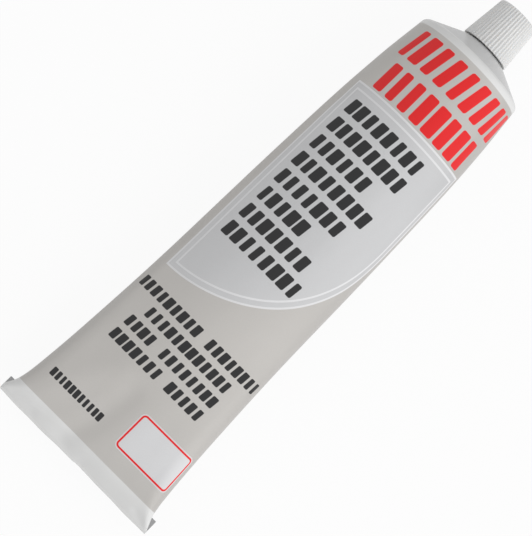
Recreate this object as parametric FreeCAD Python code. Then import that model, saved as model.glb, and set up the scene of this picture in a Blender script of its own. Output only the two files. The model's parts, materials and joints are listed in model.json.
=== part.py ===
import FreeCAD, Part
import math
import os

from FreeCAD import Vector

# Soft metal squeeze tube of sealant with a folded tail and a ribbed screw cap. Millimetres.
#
# Each piece is first drawn on the tube's own axes: X runs from the tail's lower edge to the cap,
# Y across the flat tail, Z out of the printed front. At the end all pieces are laid together on
# the tube's back, as the full tube comes to rest on a table.

# Sleeve, and how far its soft metal is pressed flat where the full tube lies
sleeve_diameter = 35.0
sleeve_length = 151.5
rest_flat = 0.12

# Folded tail: the two walls pressed flat make one leaf, and the leaf is rolled over twice
leaf_thickness = 0.30
leaf_gap = 0.08
fold_height = 5.0
fold_lean_deg = 20.0
belly_forward = 1.1
leaf_overlap = 0.4
leaf_inset = 0.03

# Shoulder and neck
shoulder_rise = 4.6
shoulder_round = 1.6
rim_flats = 4
seat_radius = 7.2
neck_root_radius = 4.6
neck_height = 10.8
tip_radius = 4.1
tip_length = 2.4
mouth_chamfer = 0.4

# Screw thread, right-handed, on the neck and in the cap
thread_pitch = 1.5
thread_depth = 0.55
thread_foot = 1.0
thread_crest = 0.4
thread_start = 1.7
neck_thread_turns = 3.25
cap_thread_turns = 2.75
thread_clearance = 0.25
thread_sink = 0.15

# Cap
cap_height = 13.2
cap_base_radius = 7.55
cap_top_radius = 6.3
cap_edge_round = 0.55
cap_gap = 0.4
rib_count = 44
rib_depth = 0.32

# Loose sealing disc in the cap
liner_thickness = 1.0
liner_gap = 0.1
liner_clearance = 0.3

# Flattening of the sleeve, from the tail to the shoulder. Each row gives the place as a share of
# the sleeve's length, the half-width as a share of the way from round to flat, the radius of the
# section's two ends as a share of its half-thickness, and how far the section's middle stands
# forward, as a share of belly_forward. A smooth curve passes through the rows.
SLEEVE_ROWS = (
    (0.0, 1.000, 0.92, 0.0),
    (0.013, 0.930, 0.92, 0.50),
    (0.036, 0.800, 0.92, 0.90),
    (0.085, 0.700, 0.86, 1.00),
    (0.190, 0.580, 0.74, 0.75),
    (0.370, 0.447, 0.66, 0.30),
    (0.600, 0.363, 0.68, 0.0),
    (0.800, 0.256, 0.74, 0.0),
    (0.910, 0.145, 0.84, 0.0),
    (1.0, 0.0, 1.0, 0.0),
)
sleeve_strips = 22
strip_crowding = 1.4

# Depth of the cap's side round one grip rib, from its crest over the groove, as shares of rib_depth
RIB_PROFILE = (0.0, 0.15, 0.7, 1.0, 0.7, 0.15)

# The cap's rounded top edge: how far along and how far in each ring stands, as shares of
# cap_edge_round, and what is left of the rib depth there
CAP_EDGE_RINGS = ((0.0, 0.0, 1.0), (0.62, 0.22, 0.8), (1.0, 0.95, 0.25))

# What follows from the sizes
sleeve_radius = sleeve_diameter / 2
girth = math.pi * sleeve_diameter
flat_half_width = girth / 4
leaf_step = leaf_thickness + leaf_gap
bend_depth = leaf_step + leaf_thickness / 2
seat_x = sleeve_length + shoulder_rise
neck_tip_x = seat_x + neck_height
cap_base_x = seat_x + cap_gap
cap_top_x = cap_base_x + cap_height
neck_crest_radius = neck_root_radius + thread_depth
cap_bore_radius = neck_crest_radius + thread_clearance
cap_thread_crest_radius = neck_root_radius + thread_clearance
liner_x = neck_tip_x + liner_gap
cap_ceiling_x = liner_x + liner_thickness + liner_gap
neck_thread_x = seat_x + thread_start
cap_thread_x = neck_thread_x + thread_pitch / 2
AXIS = Vector(1, 0, 0)
CENTRE = Vector(0, 0, 0)


def oval(half_width, half_thick, end_radius):
    """Radius of an oval's long front and back arcs, and the angle at which they meet its end arcs."""
    if half_width - half_thick < 1e-6:
        return half_thick, math.pi / 4
    reach = half_width - end_radius
    front_radius = (reach**2 + half_thick**2 - end_radius**2) / (2 * (half_thick - end_radius))
    return front_radius, math.atan2(reach, front_radius - half_thick)


def oval_girth(half_width, half_thick, end_share):
    """Length around an oval made of four arcs."""
    end_radius = end_share * half_thick
    front_radius, meet = oval(half_width, half_thick, end_radius)
    return 4 * (front_radius * meet + end_radius * (math.pi / 2 - meet))


def half_thickness(half_width, end_share):
    """Half-thickness that keeps the metal's girth, which flattening doesn't stretch."""
    low = leaf_thickness / 2
    high = half_width
    for _ in range(50):
        middle = (low + high) / 2
        if oval_girth(half_width, middle, end_share) < girth:
            low = middle
        else:
            high = middle
    return (low + high) / 2


def sleeve_law(share):
    """The last three columns of SLEEVE_ROWS at any share of the length, on a smooth curve."""
    last = len(SLEEVE_ROWS) - 1
    i = max(k for k in range(last) if SLEEVE_ROWS[k][0] <= share)
    a, b = SLEEVE_ROWS[i], SLEEVE_ROWS[i + 1]
    before, after = SLEEVE_ROWS[max(i - 1, 0)], SLEEVE_ROWS[min(i + 2, last)]
    span = b[0] - a[0]
    t = (share - a[0]) / span
    values = []
    for column in (1, 2, 3):
        rise_a = (b[column] - before[column]) / (b[0] - before[0]) * span
        rise_b = (after[column] - a[column]) / (after[0] - a[0]) * span
        values.append(
            (2 * t**3 - 3 * t**2 + 1) * a[column]
            + (t**3 - 2 * t**2 + t) * rise_a
            + (3 * t**2 - 2 * t**3) * b[column]
            + (t**3 - t**2) * rise_b
        )
    return values


def sleeve_stations():
    """Place, half-width, half-thickness, end radius and forward shift of each section of the sleeve."""
    rows = [(bend_depth, flat_half_width - leaf_inset, leaf_thickness / 2 - leaf_inset, 0.9, 0.0)]
    reach = sleeve_length - shoulder_round - bend_depth
    for i in range(1, sleeve_strips):
        share = (i / sleeve_strips) ** strip_crowding
        spread, end_share, forward = sleeve_law(share)
        half_width = sleeve_radius + spread * (flat_half_width - sleeve_radius)
        thick = half_thickness(half_width, end_share)
        rows.append((bend_depth + share * reach, half_width, thick, end_share, forward * belly_forward))
    rows.append((bend_depth + reach, sleeve_radius, sleeve_radius, 1.0, 0.0))
    return rows


def section_wire(x, half_width, half_thick, end_share, forward):
    """Section of the sleeve across its axis: a flat front and back arc and two tighter end arcs."""
    end_radius = end_share * half_thick
    front_radius, meet = oval(half_width, half_thick, end_radius)
    side = front_radius * math.sin(meet)
    rise = half_thick - front_radius + front_radius * math.cos(meet)

    def arc(*spots):
        return Part.Arc(*[Vector(x, across, out + forward) for across, out in spots]).toShape()

    return Part.Wire(
        [
            arc((side, rise), (0, half_thick), (-side, rise)),
            arc((-side, rise), (-half_width, 0), (-side, -rise)),
            arc((-side, -rise), (0, -half_thick), (side, -rise)),
            arc((side, -rise), (half_width, 0), (side, rise)),
        ]
    )


def sleeve():
    """The sleeve with its filling: flat at the fold, round at the shoulder."""
    return Part.makeLoft([section_wire(*row) for row in sleeve_stations()], True, True)


def turned(points):
    """Solid turned about the tube's axis from a half section's (x, radius) corners."""
    corners = [Vector(x, 0, radius) for x, radius in points]
    return Part.Face(Part.makePolygon(corners + corners[:1])).revolve(CENTRE, AXIS, 360)


def shoulder():
    """Stiff shoulder: a rounded rim, a shallow cone and the flat seat round the neck."""
    rim_x = sleeve_length - shoulder_round
    base_x = rim_x - shoulder_round
    centre_r = sleeve_radius - shoulder_round
    slope = math.atan2(shoulder_rise, sleeve_radius - seat_radius)
    turn = math.pi / 2 - slope
    round_points = []
    for i in range(rim_flats + 1):
        angle = turn * i / rim_flats
        round_points.append((rim_x + shoulder_round * math.sin(angle), centre_r + shoulder_round * math.cos(angle)))
    return turned(
        [(base_x, 0.0), (base_x, centre_r), (rim_x, centre_r)] + round_points + [(seat_x, seat_radius), (seat_x, 0.0)]
    )


def neck():
    """Neck with a plain tip, closed by the skin of metal that the pressing leaves."""
    tip_base_x = neck_tip_x - tip_length
    return turned(
        [
            (seat_x - shoulder_round, 0.0),
            (seat_x - shoulder_round, neck_root_radius),
            (tip_base_x, neck_root_radius),
            (tip_base_x + neck_root_radius - tip_radius, tip_radius),
            (neck_tip_x - mouth_chamfer, tip_radius),
            (neck_tip_x, tip_radius - mouth_chamfer),
            (neck_tip_x, 0.0),
        ]
    )


def thread_ridge(start_x, turns, foot_radius, crest_radius):
    """Helical ridge about the tube's axis, its foot sunk a little into the wall that carries it."""
    inward = crest_radius < foot_radius
    sunk = foot_radius + (thread_sink if inward else -thread_sink)
    flare = thread_foot + (thread_foot - thread_crest) * thread_sink / thread_depth
    path = Part.makeHelix(thread_pitch, thread_pitch * turns, foot_radius)
    corners = [
        Vector(sunk, 0, -flare / 2),
        Vector(crest_radius, 0, -thread_crest / 2),
        Vector(crest_radius, 0, thread_crest / 2),
        Vector(sunk, 0, flare / 2),
    ]
    profile = Part.makePolygon(corners + corners[:1])
    ridge = Part.Wire(path.Edges).makePipeShell([profile], True, True)
    ridge.rotate(CENTRE, Vector(0, 1, 0), 90)
    ridge.translate(Vector(start_x, 0, 0))
    return ridge


def rolled_tail():
    """The double fold behind the tail: round the lower bend, up, over the top bend and down inside."""
    t = leaf_thickness / 2
    lean = math.radians(fold_lean_deg)
    top_bend_x = fold_height - leaf_step / 2 - t

    def front(along, back):
        return Vector(along, 0, -back)

    def leaning(along, back):
        """A point of the folded leaves, which lean back about the lower bend's middle."""
        u = along - bend_depth
        v = back - leaf_step
        return front(
            bend_depth + u * math.cos(lean) - v * math.sin(lean),
            leaf_step + u * math.sin(lean) + v * math.cos(lean),
        )

    def lower_bend(radius, start, end):
        """Arc about the lower bend's middle, by angles from along the tube (0) to its back (90)."""
        spots = [start, (start + end) / 2, end]
        return Part.Arc(
            *[
                front(
                    bend_depth + radius * math.cos(math.radians(a)),
                    leaf_step + radius * math.sin(math.radians(a)),
                )
                for a in spots
            ]
        ).toShape()

    def top_bend(radius, begin, end):
        """Half circle over the top of the folded leaves, by its two sides across them."""
        middle = leaning(top_bend_x + radius, 1.5 * leaf_step)
        return Part.Arc(leaning(top_bend_x, begin), middle, leaning(top_bend_x, end)).toShape()

    def run(a, b):
        return Part.LineSegment(a, b).toShape()

    root_x = bend_depth + leaf_overlap
    outer = 2 * leaf_step
    inner = leaf_step
    edges = [
        run(front(root_x, -t), front(bend_depth, -t)),
        lower_bend(leaf_step + t, -90, -270 + fold_lean_deg),
        run(leaning(bend_depth, outer + t), leaning(top_bend_x, outer + t)),
        top_bend(leaf_step / 2 + t, outer + t, inner - t),
        run(leaning(top_bend_x, inner - t), leaning(bend_depth, inner - t)),
        run(leaning(bend_depth, inner - t), leaning(bend_depth, inner + t)),
        run(leaning(bend_depth, inner + t), leaning(top_bend_x, inner + t)),
        top_bend(leaf_step / 2 - t, inner + t, outer - t),
        run(leaning(top_bend_x, outer - t), leaning(bend_depth, outer - t)),
        lower_bend(leaf_step - t, -270 + fold_lean_deg, -90),
        run(front(bend_depth, t), front(root_x, t)),
        run(front(root_x, t), front(root_x, -t)),
    ]
    face = Part.Face(Part.Wire(edges))
    face.translate(Vector(0, -flat_half_width, 0))
    return face.extrude(Vector(0, 2 * flat_half_width, 0))


def tube():
    """The whole tube as one solid."""
    body = sleeve().fuse(shoulder()).fuse(neck())
    body = body.fuse(thread_ridge(neck_thread_x, neck_thread_turns, neck_root_radius, neck_crest_radius))
    return body.fuse(rolled_tail())


def ribbed_ring(x, radius, depth):
    """Closed chain round the cap's side, dipping between the grip ribs."""
    steps = rib_count * len(RIB_PROFILE)
    points = []
    for i in range(steps):
        angle = 2 * math.pi * i / steps
        r = radius - depth * RIB_PROFILE[i % len(RIB_PROFILE)]
        points.append(Vector(x, r * math.cos(angle), r * math.sin(angle)))
    return Part.makePolygon(points + points[:1])


def ribbed_side():
    """Solid inside the cap's ribbed, tapered side and its rounded top edge."""
    rings = [ribbed_ring(cap_base_x, cap_base_radius, rib_depth)]
    for along, inward, rib_share in CAP_EDGE_RINGS:
        x = cap_top_x - cap_edge_round * (1 - along)
        rings.append(ribbed_ring(x, cap_top_radius - cap_edge_round * inward, rib_depth * rib_share))
    return Part.makeLoft(rings, True, True)


def cap():
    """The ribbed cap with its bore and inner thread."""
    bore = Part.makeCylinder(cap_bore_radius, cap_ceiling_x - cap_base_x, Vector(cap_base_x, 0, 0), AXIS)
    shell = ribbed_side().cut(bore)
    return shell.fuse(thread_ridge(cap_thread_x, cap_thread_turns, cap_bore_radius, cap_thread_crest_radius))


def cap_liner():
    """Loose disc that seals on the neck's tip, held in the cap above its thread."""
    return Part.makeCylinder(cap_bore_radius - liner_clearance, liner_thickness, Vector(liner_x, 0, 0), AXIS)


def lie_down_angle():
    """How far the cap end is raised when the tube lies on its back, on its rim and its belly."""
    rim_x = sleeve_length - shoulder_round
    slopes = []
    for x, half_width, half_thick, end_share, forward in sleeve_stations()[:-1]:
        slopes.append(math.atan2(sleeve_radius - half_thick + forward, rim_x - x))
    return min(slopes)


def pressed_flat(shape, floor_z):
    """The tube with its soft metal pressed flat where it lies: on its rim and on its belly."""
    below = Part.makeBox(4 * sleeve_length, 4 * sleeve_length, sleeve_diameter)
    below.translate(Vector(-2 * sleeve_length, -2 * sleeve_length, floor_z - sleeve_diameter))
    return shape.cut(below)


def laid_down(shapes, lie_angle):
    """All pieces turned to lie on the tube's back, with their common box centred over the origin."""
    for shape in shapes.values():
        shape.rotate(CENTRE, Vector(0, 1, 0), -math.degrees(lie_angle))
    floor_z = shapes["tube"].optimalBoundingBox(False).ZMin + rest_flat
    shapes["tube"] = pressed_flat(shapes["tube"], floor_z)
    whole = Part.makeCompound(list(shapes.values())).optimalBoundingBox(False)
    shift = Vector(-(whole.XMin + whole.XMax) / 2, -(whole.YMin + whole.YMax) / 2, -floor_z)
    for shape in shapes.values():
        shape.translate(shift)
    return shift


shapes = {"tube": tube(), "cap": cap(), "cap_liner": cap_liner()}
lie_angle = lie_down_angle()
shift = laid_down(shapes, lie_angle)

os.makedirs("parts", exist_ok=True)
for node, shape in shapes.items():
    if isinstance(shape, Part.Compound) and len(shape.Solids) == 1:
        shape = shape.Solids[0]
    shape.exportStep("parts/" + node + ".step")
    box = shape.optimalBoundingBox(False)
    print(node, len(shape.Solids), "solid, valid", shape.isValid(), "volume", round(shape.Volume, 1))
    print("  box", [round(v, 3) for v in (box.XMin, box.XMax, box.YMin, box.YMax, box.ZMin, box.ZMax)])

print("cap end raised by", round(math.degrees(lie_angle), 4), "degrees, shift", shift)
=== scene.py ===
"""Looks of a soft metal squeeze tube of sealant that lies on its back.

The pieces are drawn on the tube's own axes, in millimetres: x runs from the folded tail to the cap,
y across the flat tail and z out of the printed front. TubeAxes turns them into the frame's metres.
"""

import json
import logging
import math
from collections.abc import Callable, Sequence
from dataclasses import dataclass, field
from enum import Enum

import bmesh
import bpy
from mathutils import Matrix, Vector


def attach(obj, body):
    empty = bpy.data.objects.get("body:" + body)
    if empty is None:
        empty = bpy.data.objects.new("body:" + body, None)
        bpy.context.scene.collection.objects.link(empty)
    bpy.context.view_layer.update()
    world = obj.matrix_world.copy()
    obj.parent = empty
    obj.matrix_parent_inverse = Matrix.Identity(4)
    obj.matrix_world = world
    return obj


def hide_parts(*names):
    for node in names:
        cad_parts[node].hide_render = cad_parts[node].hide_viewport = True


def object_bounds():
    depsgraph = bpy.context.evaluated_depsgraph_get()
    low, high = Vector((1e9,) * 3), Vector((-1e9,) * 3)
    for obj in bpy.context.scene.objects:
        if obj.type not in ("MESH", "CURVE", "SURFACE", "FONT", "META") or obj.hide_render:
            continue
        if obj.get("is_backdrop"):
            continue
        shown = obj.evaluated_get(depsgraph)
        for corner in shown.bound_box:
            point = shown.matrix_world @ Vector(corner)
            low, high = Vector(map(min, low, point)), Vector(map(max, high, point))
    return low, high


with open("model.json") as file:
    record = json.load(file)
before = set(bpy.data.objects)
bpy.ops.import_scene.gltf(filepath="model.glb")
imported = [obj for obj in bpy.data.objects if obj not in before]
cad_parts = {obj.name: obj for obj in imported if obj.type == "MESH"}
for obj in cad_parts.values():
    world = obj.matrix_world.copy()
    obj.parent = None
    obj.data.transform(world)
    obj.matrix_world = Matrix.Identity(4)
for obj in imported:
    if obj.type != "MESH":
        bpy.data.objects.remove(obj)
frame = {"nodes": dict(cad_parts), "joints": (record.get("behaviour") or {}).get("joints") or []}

LOG = logging.getLogger("squeeze_tube")
IMAGE_LONG_SIDE = 536
PRINT_MAP = "print_mm"
REST_LEVEL = 0.00001
ENAMEL = (0.74, 0.74, 0.735, 1.0)
Pair = tuple[float, float]
Colour = tuple[float, float, float, float]


class Body(Enum):
    """The bodies that pieces ride on."""

    TUBE = "tube"
    LINER = "liner"
    CAP = "cap"


class Slot(Enum):
    """The record's material slots."""

    TUBE = "lacquered_tube"
    CAP = "white_cap"


class Shape(Enum):
    """How steep a dent's edge is."""

    BOWL = "bowl"
    CREASE = "crease"


# Small helpers


def smooth(low: float, high: float, value: float) -> float:
    """Smooth step from 0 at low to 1 at high.

    Args:
        low: Value at which the step starts.
        high: Value at which the step ends.
        value: Value to look up.

    Returns:
        A share from 0 to 1.
    """
    share = min(max((value - low) / (high - low), 0.0), 1.0)
    return share * share * (3 - 2 * share)


def bell(distance: float, width: float) -> float:
    """Bell curve that is 1 at no distance and fades over width."""
    return math.exp(-((distance / width) ** 2))


@dataclass(frozen=True)
class TubeAxes:
    """The tube's own axes in the frame, read from the cap's hinge."""

    base_x: float = 156.5
    scale: float = 0.001

    @property
    def matrix(self) -> Matrix:
        """Turns a place on the tube's own axes, in millimetres, into the frame's metres."""
        hinge = next(joint for joint in frame["joints"] if joint["type"] == "hinge")
        along = Vector(hinge["axis"]).normalized()
        across = Vector((0.0, 1.0, 0.0))
        out = along.cross(across)
        start = Vector(hinge["pos_m"]) - along * self.base_x * self.scale
        turned = Matrix((along, across, out)).transposed().to_4x4()
        return Matrix.Translation(start) @ turned @ Matrix.Scale(self.scale, 4)

    def rested(self, place: Vector) -> Vector:
        """A place in the frame, pressed flat where it would reach into the surface that the tube lies on."""
        spot = self.matrix @ place
        spot.z = max(spot.z, REST_LEVEL)
        return spot

    def upright(self, x: float) -> Matrix:
        """Lays a piece that was turned about its own Z axis along the tube, from a place on the axis."""
        return self.matrix @ Matrix.Translation((x, 0, 0)) @ Matrix.Rotation(math.pi / 2, 4, "Y")


AXES = TubeAxes()


# Meshes


@dataclass
class Surface:
    """A surface of rings, each a closed row of places, with print coordinates for every face corner."""

    name: str
    rings: list[list[Vector]] = field(default_factory=list)
    prints: list[list[Pair]] = field(default_factory=list)

    def add(self, ring: Sequence[Vector], prints: Sequence[Pair] | None = None) -> None:
        """Adds a ring.

        Args:
            ring: Places round the ring, on the tube's own axes.
            prints: Print coordinates, one more than the places, so that the last one closes the ring.
        """
        self.rings.append(list(ring))
        self.prints.append(list(prints) if prints else [(0.0, 0.0)] * (len(ring) + 1))

    def build(self, close_first: Callable | None = None) -> bpy.types.Object:
        """Makes the mesh object at the origin, with its place in its mesh.

        Args:
            close_first: Gives the faces that close the first ring, as lists of places in that ring.

        Returns:
            The new object.
        """
        mesh = bpy.data.meshes.new(self.name)
        bm = bmesh.new()
        layer = bm.loops.layers.uv.new(PRINT_MAP)
        rows = [[bm.verts.new(AXES.rested(place)) for place in ring] for ring in self.rings]
        count = len(rows[0])
        for i in range(len(rows) - 1):
            for j in range(count):
                after = (j + 1) % count
                face = bm.faces.new((rows[i][j], rows[i][after], rows[i + 1][after], rows[i + 1][j]))
                corners = (
                    self.prints[i][j],
                    self.prints[i][j + 1],
                    self.prints[i + 1][j + 1],
                    self.prints[i + 1][j],
                )
                for loop, corner in zip(face.loops, corners):
                    loop[layer].uv = corner
        if close_first:
            for corners in close_first(count):
                bm.faces.new([rows[0][j] for j in corners])
        else:
            bm.faces.new(rows[0])
        bm.faces.new(rows[-1])
        bmesh.ops.recalc_face_normals(bm, faces=bm.faces)
        for face in bm.faces:
            face.smooth = True
        bm.to_mesh(mesh)
        bm.free()
        made = bpy.data.objects.new(self.name, mesh)
        bpy.context.scene.collection.objects.link(made)
        return made


def turned_piece(name: str, outline: Sequence[Pair], columns: int) -> bpy.types.Object:
    """A piece turned about the tube's axis.

    Args:
        name: The piece's name.
        outline: Places along the axis and radii, from one end of the axis to the other.
        columns: How many places each ring has.

    Returns:
        The new object.
    """
    surface = Surface(name)
    for x, radius in outline:
        angles = [2 * math.pi * j / columns for j in range(columns)]
        ring = [Vector((x, radius * math.sin(a), radius * math.cos(a))) for a in angles]
        surface.add(ring, [(radius * a, x) for a in [*angles, 2 * math.pi]])
    return surface.build()


def sharpen(piece: bpy.types.Object, degrees: float) -> None:
    """Shades edges that turn by more than an angle as sharp.

    Args:
        piece: The mesh object.
        degrees: The angle.
    """
    bm = bmesh.new()
    bm.from_mesh(piece.data)
    for edge in bm.edges:
        if len(edge.link_faces) == 2:
            edge.smooth = edge.calc_face_angle(0.0) < math.radians(degrees)
    bm.to_mesh(piece.data)
    bm.free()


def keep(
    piece: bpy.types.Object,
    body: Body,
    material: bpy.types.Material | None,
    node: str,
) -> bpy.types.Object:
    """Finishes a piece: its material, its body and the node that it stands for.

    Args:
        piece: The mesh object.
        body: The body that it rides on.
        material: Its material, or None where the mesh has its own.
        node: The node that it replaces.

    Returns:
        The same piece.
    """
    if material:
        piece.data.materials.clear()
        piece.data.materials.append(material)
    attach(piece, body.value)
    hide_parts(node)
    LOG.info("%s: %d faces, on body %s", piece.name, len(piece.data.polygons), body.value)
    return piece


# Node graphs


class Graph:
    """Makes and links the nodes of a tree, for materials and for geometry."""

    def __init__(self, tree: bpy.types.NodeTree) -> None:
        """Keeps the tree and clears it."""
        self.tree = tree
        tree.nodes.clear()

    def add(self, kind: str, settings: dict | None = None, inputs: dict | None = None) -> bpy.types.Node:
        """Adds a node.

        Args:
            kind: The node's type name.
            settings: Its properties.
            inputs: Values or sockets for its inputs, by name or number.

        Returns:
            The new node.
        """
        node = self.tree.nodes.new(kind)
        for name, value in (settings or {}).items():
            setattr(node, name, value)
        for name, value in (inputs or {}).items():
            self.feed(node.inputs[name], value)
        return node

    def feed(self, socket: bpy.types.NodeSocket, value: object) -> None:
        """Links a socket to an input, or sets the input's value."""
        if isinstance(value, bpy.types.NodeSocket):
            self.tree.links.new(value, socket)
        else:
            socket.default_value = value

    def math(self, operation: str, a: object, b: object = None, clamp: bool = False) -> bpy.types.NodeSocket:
        """Result of a Math node."""
        inputs = {0: a} if b is None else {0: a, 1: b}
        return self.add("ShaderNodeMath", {"operation": operation, "use_clamp": clamp}, inputs).outputs[0]

    def blend(self, share: object, a: object, b: object) -> bpy.types.NodeSocket:
        """Colour that goes from a to b with share."""
        node = self.add("ShaderNodeMix", {"data_type": "RGBA"}, {0: share, 6: a, 7: b})
        return node.outputs[2]

    def between(self, share: object, a: object, b: object) -> bpy.types.NodeSocket:
        """Number that goes from a to b with share."""
        return self.add("ShaderNodeMix", {"data_type": "FLOAT"}, {0: share, 2: a, 3: b}).outputs[0]

    def ramp(
        self, value: object, low: object, high: object, to_low: float, to_high: float
    ) -> bpy.types.NodeSocket:
        """Result of a clamped Map Range node."""
        inputs = {0: value, 1: low, 2: high, 3: to_low, 4: to_high}
        return self.add("ShaderNodeMapRange", {"clamp": True}, inputs).outputs[0]

    def noise(self, place: object, scale: float, detail: float = 2.0) -> bpy.types.NodeSocket:
        """Result of a Noise Texture."""
        inputs = {"Vector": place, "Scale": scale, "Detail": detail}
        return self.add("ShaderNodeTexNoise", None, inputs).outputs[0]

    def stretched(self, place: object, scale: Sequence[float]) -> bpy.types.NodeSocket:
        """Coordinates scaled along each axis by a Mapping node."""
        return self.add("ShaderNodeMapping", None, {"Vector": place, "Scale": tuple(scale)}).outputs[0]

    def toned(self, colour: object, tone: object) -> bpy.types.NodeSocket:
        """A colour made lighter or darker by a factor."""
        inputs = {0: colour, "Scale": tone}
        return self.add("ShaderNodeVectorMath", {"operation": "SCALE"}, inputs).outputs[0]

    def bump(self, strength: float, distance: float, height: object) -> bpy.types.NodeSocket:
        """Normal of a fine relief, with its depth in metres."""
        inputs = {"Strength": strength, "Distance": distance, "Height": height}
        return self.add("ShaderNodeBump", None, inputs).outputs[0]

    def rounded(self, side: object, edge: object, corner: object) -> bpy.types.NodeSocket:
        """Distance from a rounded outline, less than 0 inside it.

        Args:
            side: How far a place lies past the inner line of the near side.
            edge: How far it lies past the inner line of the near end.
            corner: Radius of the corners, which is also how far in those lines lie.

        Returns:
            The distance.
        """
        squares = [self.math("POWER", self.math("MAXIMUM", past, 0.0), 2.0) for past in (side, edge)]
        out = self.math("SQRT", self.math("ADD", squares[0], squares[1]))
        inner = self.math("MINIMUM", self.math("MAXIMUM", side, edge), 0.0)
        return self.math("SUBTRACT", self.math("ADD", out, inner), corner)

    def surface(self, inputs: dict) -> None:
        """Ends a material with a Principled shader."""
        shader = self.add("ShaderNodeBsdfPrincipled", None, inputs)
        self.add("ShaderNodeOutputMaterial", None, {"Surface": shader.outputs[0]})


def new_material(name: str) -> tuple[bpy.types.Material, Graph]:
    """An empty node material and the graph that fills it."""
    material = bpy.data.materials.new(name)
    material.use_nodes = True
    return material, Graph(material.node_tree)


def grey(level: float) -> Colour:
    """Neutral colour of one level."""
    return (level, level, level, 1.0)


# The print: bars in rows where a pack carries its wording, and plain fields of colour


@dataclass(frozen=True)
class BarRows:
    """Rows of plain rounded bars, in millimetres on the unrolled sleeve."""

    left: float
    top: float
    pitch: float
    height: float
    rows: int
    cell: float
    shortest: float
    longest: float
    seed: float
    slant: float = 0.0
    corner: float = 0.5
    centred: float = 0.0
    gaps: float = 0.0

    @property
    def foot(self) -> float:
        """The lowest row's lower edge."""
        return self.top - self.pitch * (self.rows - 1) - self.height


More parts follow.
